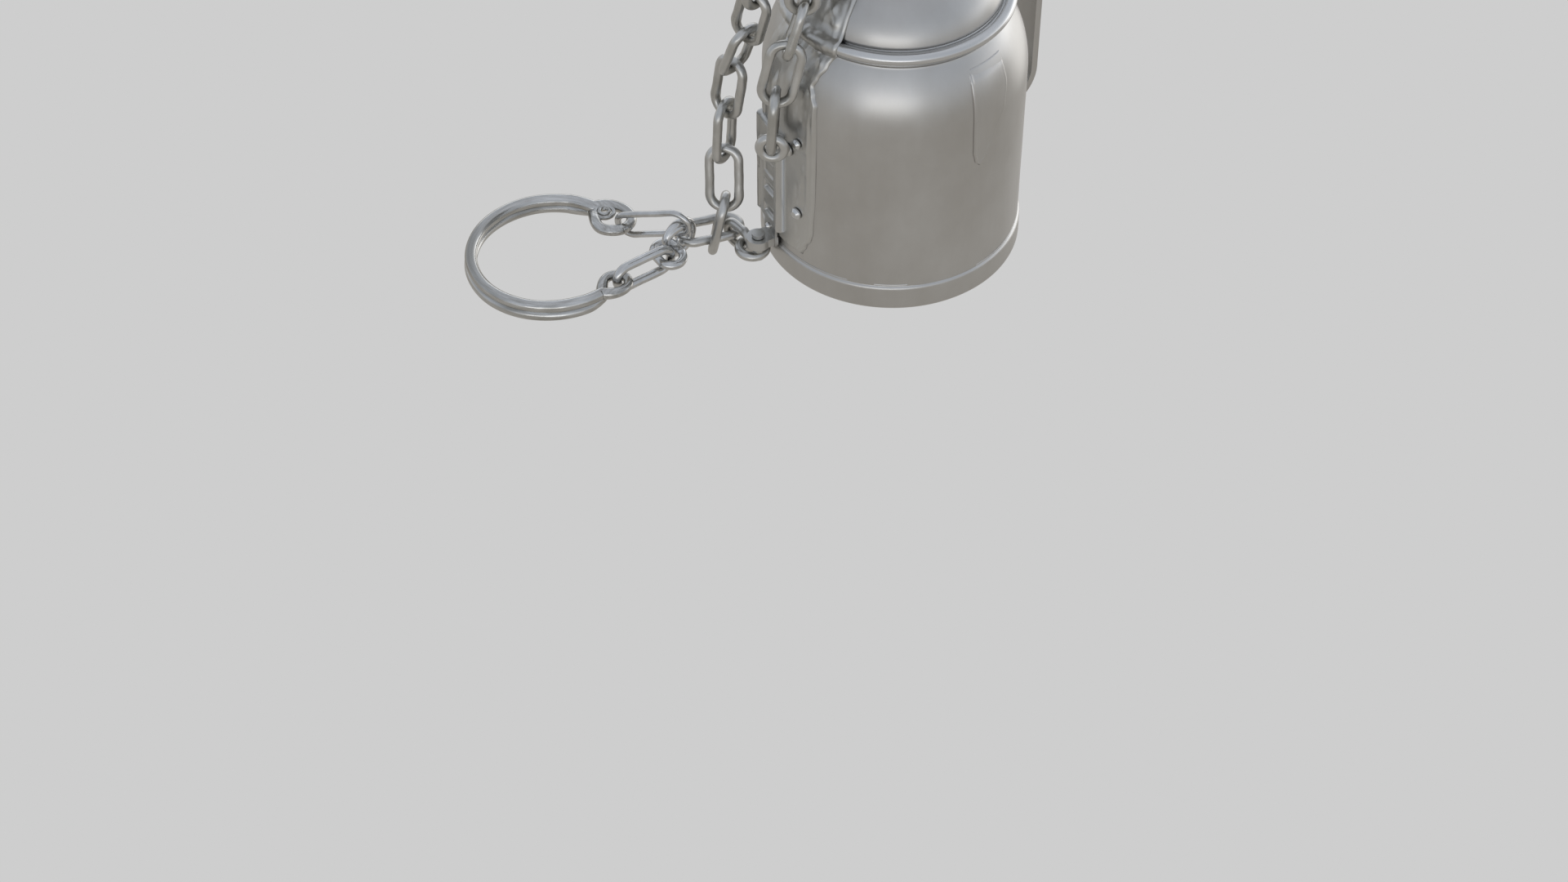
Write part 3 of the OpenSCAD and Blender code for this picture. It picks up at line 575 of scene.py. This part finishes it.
chain_nodes = ["chain_link_%d" % i for i in range(1, 7)] + ["guard_link_%d" % i for i in range(1, 4)]
for number, node in enumerate(chain_nodes + ["junction_link", "foot_link"]):
    link_piece(node, LINK, 1.7 * number + 0.4)
for number, node in enumerate(["ring_link_upper", "ring_link_short", "ring_link_lower"]):
    link_piece(node, RING, 2.3 * number + 21, slim=0.985 if node != "ring_link_upper" else 0.7)

# ---- Belt ring: two strands that part round an eye at each end --------------

RING_C = Vector((-105.2, -19.4, 0))
RING_R = 24.8
LAYERS = (2.05, 5.05)
EYE_REACH = 3.1
STRAND_WIRE = 1.9
# The wire's half thickness at an eye's tip and past the eye
EYE_WIRE = {"upper": (1.7, 1.95), "lower": (1.5, STRAND_WIRE)}
EYES = {"upper": (Vector((-86.4, -4.2, 5.2)), 5.6), "lower": (Vector((-84.4, -33.6, 5.2)), 3.8)}


def ring_azimuth(p):
    return math.atan2(p.y - RING_C.y, p.x - RING_C.x)


def eye_offset(s, bend):
    """Half the width of the oval eye at a distance s along the ring from the eye's centre."""
    if s > 0:
        return math.sqrt(max(0.0, bend * bend - s * s))
    far = 1.55 * bend
    if s > -far:
        return bend * math.cos(math.pi / 2 * s / far) ** 0.8
    return 0.0


def eye_stretch(name, stops, turn, side, layer):
    """One strand's points and thicknesses round an eye. A stop is a distance from the eye's centre."""
    centre, bend = EYES[name]
    thin, full = EYE_WIRE[name]
    azimuth = ring_azimuth(centre)
    if turn > 0:
        azimuth += 2 * math.pi
    radius = ((centre - RING_C) * Vector((1, 1, 0))).length
    pts, thick = [], []
    for s in stops:
        a = azimuth + turn * s / RING_R
        base = radius + (RING_R - radius) * min(1, max(0, -s / (3 * bend)))
        level = blend_over(-s, [(bend * 0.2, centre.z), (3.0 * bend, layer)])
        r = base + side * eye_offset(s, bend)
        pts.append(Vector((RING_C.x + r * math.cos(a), RING_C.y + r * math.sin(a), level)))
        thick.append(blend_over(-s, [(0, thin), (1.6 * bend, full)]))
    return pts, thick, azimuth


def strand(outer):
    """Centre line and thickness of one strand, from the upper eye's tip to the lower eye's."""
    up_b, low_b = EYES["upper"][1], EYES["lower"][1]
    layer = LAYERS[1] if outer else LAYERS[0]
    side = 1 if outer else -1
    stops = [up_b - up_b * (1 - math.cos(math.pi * i / 60)) for i in range(0, 31)]
    stops += [-up_b * i / 10 for i in range(1, 32)]
    pts, thick, a_up = eye_stretch("upper", stops, -1, side, layer)
    stops = [-low_b * i / 10 for i in range(31, 0, -1)]
    stops += [low_b - low_b * (1 - math.cos(math.pi * i / 60)) for i in range(30, -1, -1)]
    low_pts, low_thick, a_low = eye_stretch("lower", stops, 1, side, layer)
    a_from = a_up + EYE_REACH * up_b / RING_R
    a_to = a_low - EYE_REACH * low_b / RING_R
    steps = 360
    for i in range(1, steps):
        a = a_from + (a_to - a_from) * i / steps
        r = RING_R - (0.3 if outer else 0) * shelf(min(i, steps - i) / 60, 1.0)
        pts.append(Vector((RING_C.x + r * math.cos(a), RING_C.y + r * math.sin(a), layer)))
        thick.append(STRAND_WIRE)
    return pts + low_pts, thick + low_thick


def strand_mesh(outer, seed):
    """One strand as a mesh, with shallow drawn grooves along it."""
    pts, thick = strand(outer)
    path = [p * MM for p in pts]

    def section(i, count):
        ring = []
        for k in range(40):
            a = 2 * math.pi * k / 40
            grooves = 0.022 * math.cos(3 * a + seed + i * 0.004)
            p = pts[i]
            wave = 0.06 * rough_at((p.x, p.y, p.z + 2 * math.sin(a)), 0.09, seed)
            r = thick[i] * (1 + grooves + wave) * MM
            ring.append((r * math.cos(a), r * math.sin(a)))
        return ring
    return sweep(path, section)


CURL_R, CURL_TURNS, CURL_WIRE = 3.1, 2.1, 0.8


def eye_curl():
    """The wire's tail, curled up flat in the far half of the upper eye."""
    centre, bend = EYES["upper"]
    a = ring_azimuth(centre)
    middle = centre + Vector((-math.sin(a), math.cos(a), 0)) * bend * 0.72
    path = []
    steps = 150
    for i in range(steps + 1):
        t = i / steps
        r = CURL_R * (1 - t) ** 0.9 + 0.35
        round_it = a + math.pi / 2 + t * 2 * math.pi * CURL_TURNS
        path.append((middle + Vector((r * math.cos(round_it), r * math.sin(round_it), 0.2 + 0.9 * t))) * MM)
    return sweep(path, wire_section(CURL_WIRE * MM, 0.06, 44, None, path, 16, lambda t: 1 - 0.35 * t))


verts, faces = [], []
for more, more_faces in (strand_mesh(True, 1.0), strand_mesh(False, 4.0), eye_curl()):
    start = len(verts)
    verts += more
    faces += [tuple(i + start for i in f) for f in more_faces]
piece("belt_ring_strands", verts, faces, BELT_PAINTED_REFLECTION, "belt_ring")

# ---- Coil: a ring whose end curls into its own middle -------------------------

low, high = (Vector(v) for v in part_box("coil_ring"))
coil_c = (low + high) / 2
COIL_AZ = math.radians(225)
COIL_BEND, COIL_WIRE, COIL_TURNS, COIL_OUTER = 5.6, 1.4, 2.15, 1.12
COIL_START = math.radians(-20)
along = Vector((math.cos(COIL_AZ), math.sin(COIL_AZ), 0))
outward = Vector((math.sin(COIL_AZ), -math.cos(COIL_AZ), 0))
if outward.y > 0:
    outward = -outward
path, sizes = [], []
COIL_STEPS = 300
for i in range(COIL_STEPS + 1):
    t = i / COIL_STEPS
    a = COIL_START + t * 2 * math.pi * COIL_TURNS
    gone = max(0.0, (t * COIL_TURNS - COIL_OUTER) / (COIL_TURNS - COIL_OUTER))
    r = COIL_BEND * (1 - gone) ** 1.2 + 0.75 * gone
    lift = 1.3 * math.sin(math.pi * min(1, gone * 1.2)) + 0.8 * gone
    offset = along * r * math.cos(a) + Vector((0, 0, r * math.sin(a))) + outward * lift
    path.append(coil_c + offset * MM)
    sizes.append(COIL_WIRE * (1 - 0.5 * min(1, gone * 1.6)))
sect = wire_section(MM, 0.05, 31, None, path, 18, lambda t: sizes[min(COIL_STEPS, round(t * COIL_STEPS))])
verts, faces = sweep(path, sect)
piece("coil_spiral", verts, faces, RING, "coil_ring")

# ---- Finish of the CAD nodes that stay ----------------------------------------

finish = {"body_steel": SATIN, "wire_steel": LINK, "cap_plastic": PLASTIC, "gasket_rubber": RUBBER}
for node, obj in record_nodes.items():
    look = finish[slot_of[node]]
    if node in ("foot_bracket", "neck_collar", "handle_pads"):
        look = SHEET
    if node in ("clip_rivets", "handle_rivets", "collar_screw", "cap_boss", "cap_swivel_pin", "bail"):
        look = BEAD
    obj.data.materials.clear()
    obj.data.materials.append(look)

# ---- Floor, light and camera ---------------------------------------------------

FLOOR = 6.0
FLOOR_TONE = (0.617, 0.617, 0.617, 1)
floor_mesh = bpy.data.meshes.new("floor")
floor_mesh.from_pydata([(-FLOOR, -FLOOR, 0), (FLOOR, -FLOOR, 0), (FLOOR, FLOOR, 0), (-FLOOR, FLOOR, 0)],
                       [], [(0, 1, 2, 3)])
floor = bpy.data.objects.new("floor", floor_mesh)
bpy.context.scene.collection.objects.link(floor)
floor_mat, nodes, links, _ = new_material("floor_pale")
emit = nodes.new("ShaderNodeEmission")
emit.inputs["Color"].default_value = FLOOR_TONE
links.new(emit.outputs["Emission"], nodes["Material Output"].inputs["Surface"])
floor_mesh.materials.append(floor_mat)
floor.visible_glossy = False
floor.visible_diffuse = False
floor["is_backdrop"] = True
# A plain pale wall round the floor, seen only by the camera
WALL_HIGH = 5.0
corners = [(-FLOOR, -FLOOR), (FLOOR, -FLOOR), (FLOOR, FLOOR), (-FLOOR, FLOOR)]
wall_mesh = bpy.data.meshes.new("backdrop")
wall_mesh.from_pydata([(x, y, z) for z in (0, WALL_HIGH) for x, y in corners], [],
                      [(i, (i + 1) % 4, (i + 1) % 4 + 4, i + 4) for i in range(4)])
backdrop = bpy.data.objects.new("backdrop", wall_mesh)
bpy.context.scene.collection.objects.link(backdrop)
wall_mesh.materials.append(floor_mat)
backdrop.visible_glossy = False
backdrop.visible_diffuse = False
backdrop.visible_shadow = False
backdrop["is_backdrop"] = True

world = bpy.data.worlds.new("studio")
bpy.context.scene.world = world
world.use_nodes = True
wn, wl = world.node_tree.nodes, world.node_tree.links
split = wn.new("ShaderNodeSeparateXYZ")
wl.new(wn.new("ShaderNodeTexCoord").outputs["Generated"], split.inputs["Vector"])
height = range_node(wn, wl, split.outputs["Z"], 0, 1, -1, 1)
sky = ramp_node(wn, wl, height, [
    (0.0, (0.455, 0.438, 0.412)), (0.36, (0.452, 0.437, 0.415)), (0.46, (0.47, 0.475, 0.475)),
    (0.54, (0.50, 0.53, 0.58)), (0.66, (0.50, 0.54, 0.60)), (1.0, (0.55, 0.58, 0.64))])
# A soft band of light near the horizon, brighter towards the front left and the right
fall = ramp_node(wn, wl, height, [((z + 1) / 2, (v, v, v)) for z, v in [
    (-0.20, 0.0), (-0.145, 0.08), (-0.09, 0.50), (-0.04, 0.86), (0.02, 0.88), (0.08, 0.68),
    (0.15, 0.46), (0.25, 0.32), (0.42, 0.20), (0.60, 0.10)]])
turn = math_node(wn, wl, "ARCTAN2", split.outputs["Y"], split.outputs["X"])
place = range_node(wn, wl, turn, 0, 1, -math.pi, math.pi)


def az_stop(deg):
    return (deg + 180) / 360


band = ramp_node(wn, wl, place, [(az_stop(d), (v, v, v * 1.02)) for d, v in [
    (-180, 0.10), (-150, 0.05), (-135, 0.18), (-118, 0.56), (-100, 0.74), (-82, 0.60), (-66, 0.40),
    (-45, 0.14), (-22, 0.16), (-5, 0.60), (12, 1.1), (40, 0.95), (62, 0.70), (85, 0.40), (120, 0.30),
    (150, 0.30), (180, 0.10)]])
glow = wn.new("ShaderNodeMixRGB")
glow.blend_type = "ADD"
glow.inputs["Fac"].default_value = 1.0
scaled = wn.new("ShaderNodeMixRGB")
scaled.blend_type = "MULTIPLY"
scaled.inputs["Fac"].default_value = 1.0
wl.new(band, scaled.inputs["Color1"])
wl.new(fall, scaled.inputs["Color2"])
wl.new(sky, glow.inputs["Color1"])
wl.new(scaled.outputs["Color"], glow.inputs["Color2"])
# A broad pale patch low on the right, which the shoulder's right edge mirrors
PATCH = (0.702, 0.702, -0.12)
toward = wn.new("ShaderNodeVectorMath")
toward.operation = "DOT_PRODUCT"
toward.inputs[1].default_value = PATCH
wl.new(wn["Texture Coordinate"].outputs["Generated"], toward.inputs[0])
patch = range_node(wn, wl, toward.outputs["Value"], 0, 0.85, 0.862, 0.935)
pale = wn.new("ShaderNodeMixRGB")
pale.blend_type = "ADD"
pale.inputs["Color2"].default_value = (1, 1, 1, 1)
wl.new(patch, pale.inputs["Fac"])
wl.new(glow.outputs["Color"], pale.inputs["Color1"])
wl.new(pale.outputs["Color"], wn["Background"].inputs["Color"])


def softbox(name, az, el, distance, size, energy, colour):
    lamp = bpy.data.lights.new(name, "AREA")
    lamp.shape = "RECTANGLE"
    lamp.size, lamp.size_y = size
    lamp.energy = energy
    lamp.color = colour
    obj = bpy.data.objects.new(name, lamp)
    a, e = math.radians(az), math.radians(el)
    at = Vector((math.cos(a) * math.cos(e), math.sin(a) * math.cos(e), math.sin(e))) * distance
    obj.location = at + Vector((0, 0, 0.08))
    obj.rotation_euler = (-at).to_track_quat("-Z", "Y").to_euler()
    bpy.context.scene.collection.objects.link(obj)


softbox("key_front", -96, 1, 3.0, (2.4, 0.8), 4.5, (1, 1, 1))
softbox("fill_back", 95, 8, 3.0, (2.4, 1.2), 5, (0.98, 0.99, 1))

CAMERA_SENSOR, CAMERA_LENS = 36, 67.18
CAMERA_AT, CAMERA_TILT = (-0.03309, -0.69225, 0.61006), 44.35
cam_data = bpy.data.cameras.new("camera")
cam_data.sensor_width = CAMERA_SENSOR
cam_data.lens = CAMERA_LENS
cam = bpy.data.objects.new("camera", cam_data)
cam.location = CAMERA_AT
cam.rotation_euler = (math.radians(CAMERA_TILT), 0, 0)
bpy.context.scene.collection.objects.link(cam)
bpy.context.scene.camera = cam
bpy.context.scene.view_settings.view_transform = "Standard"

low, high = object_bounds()
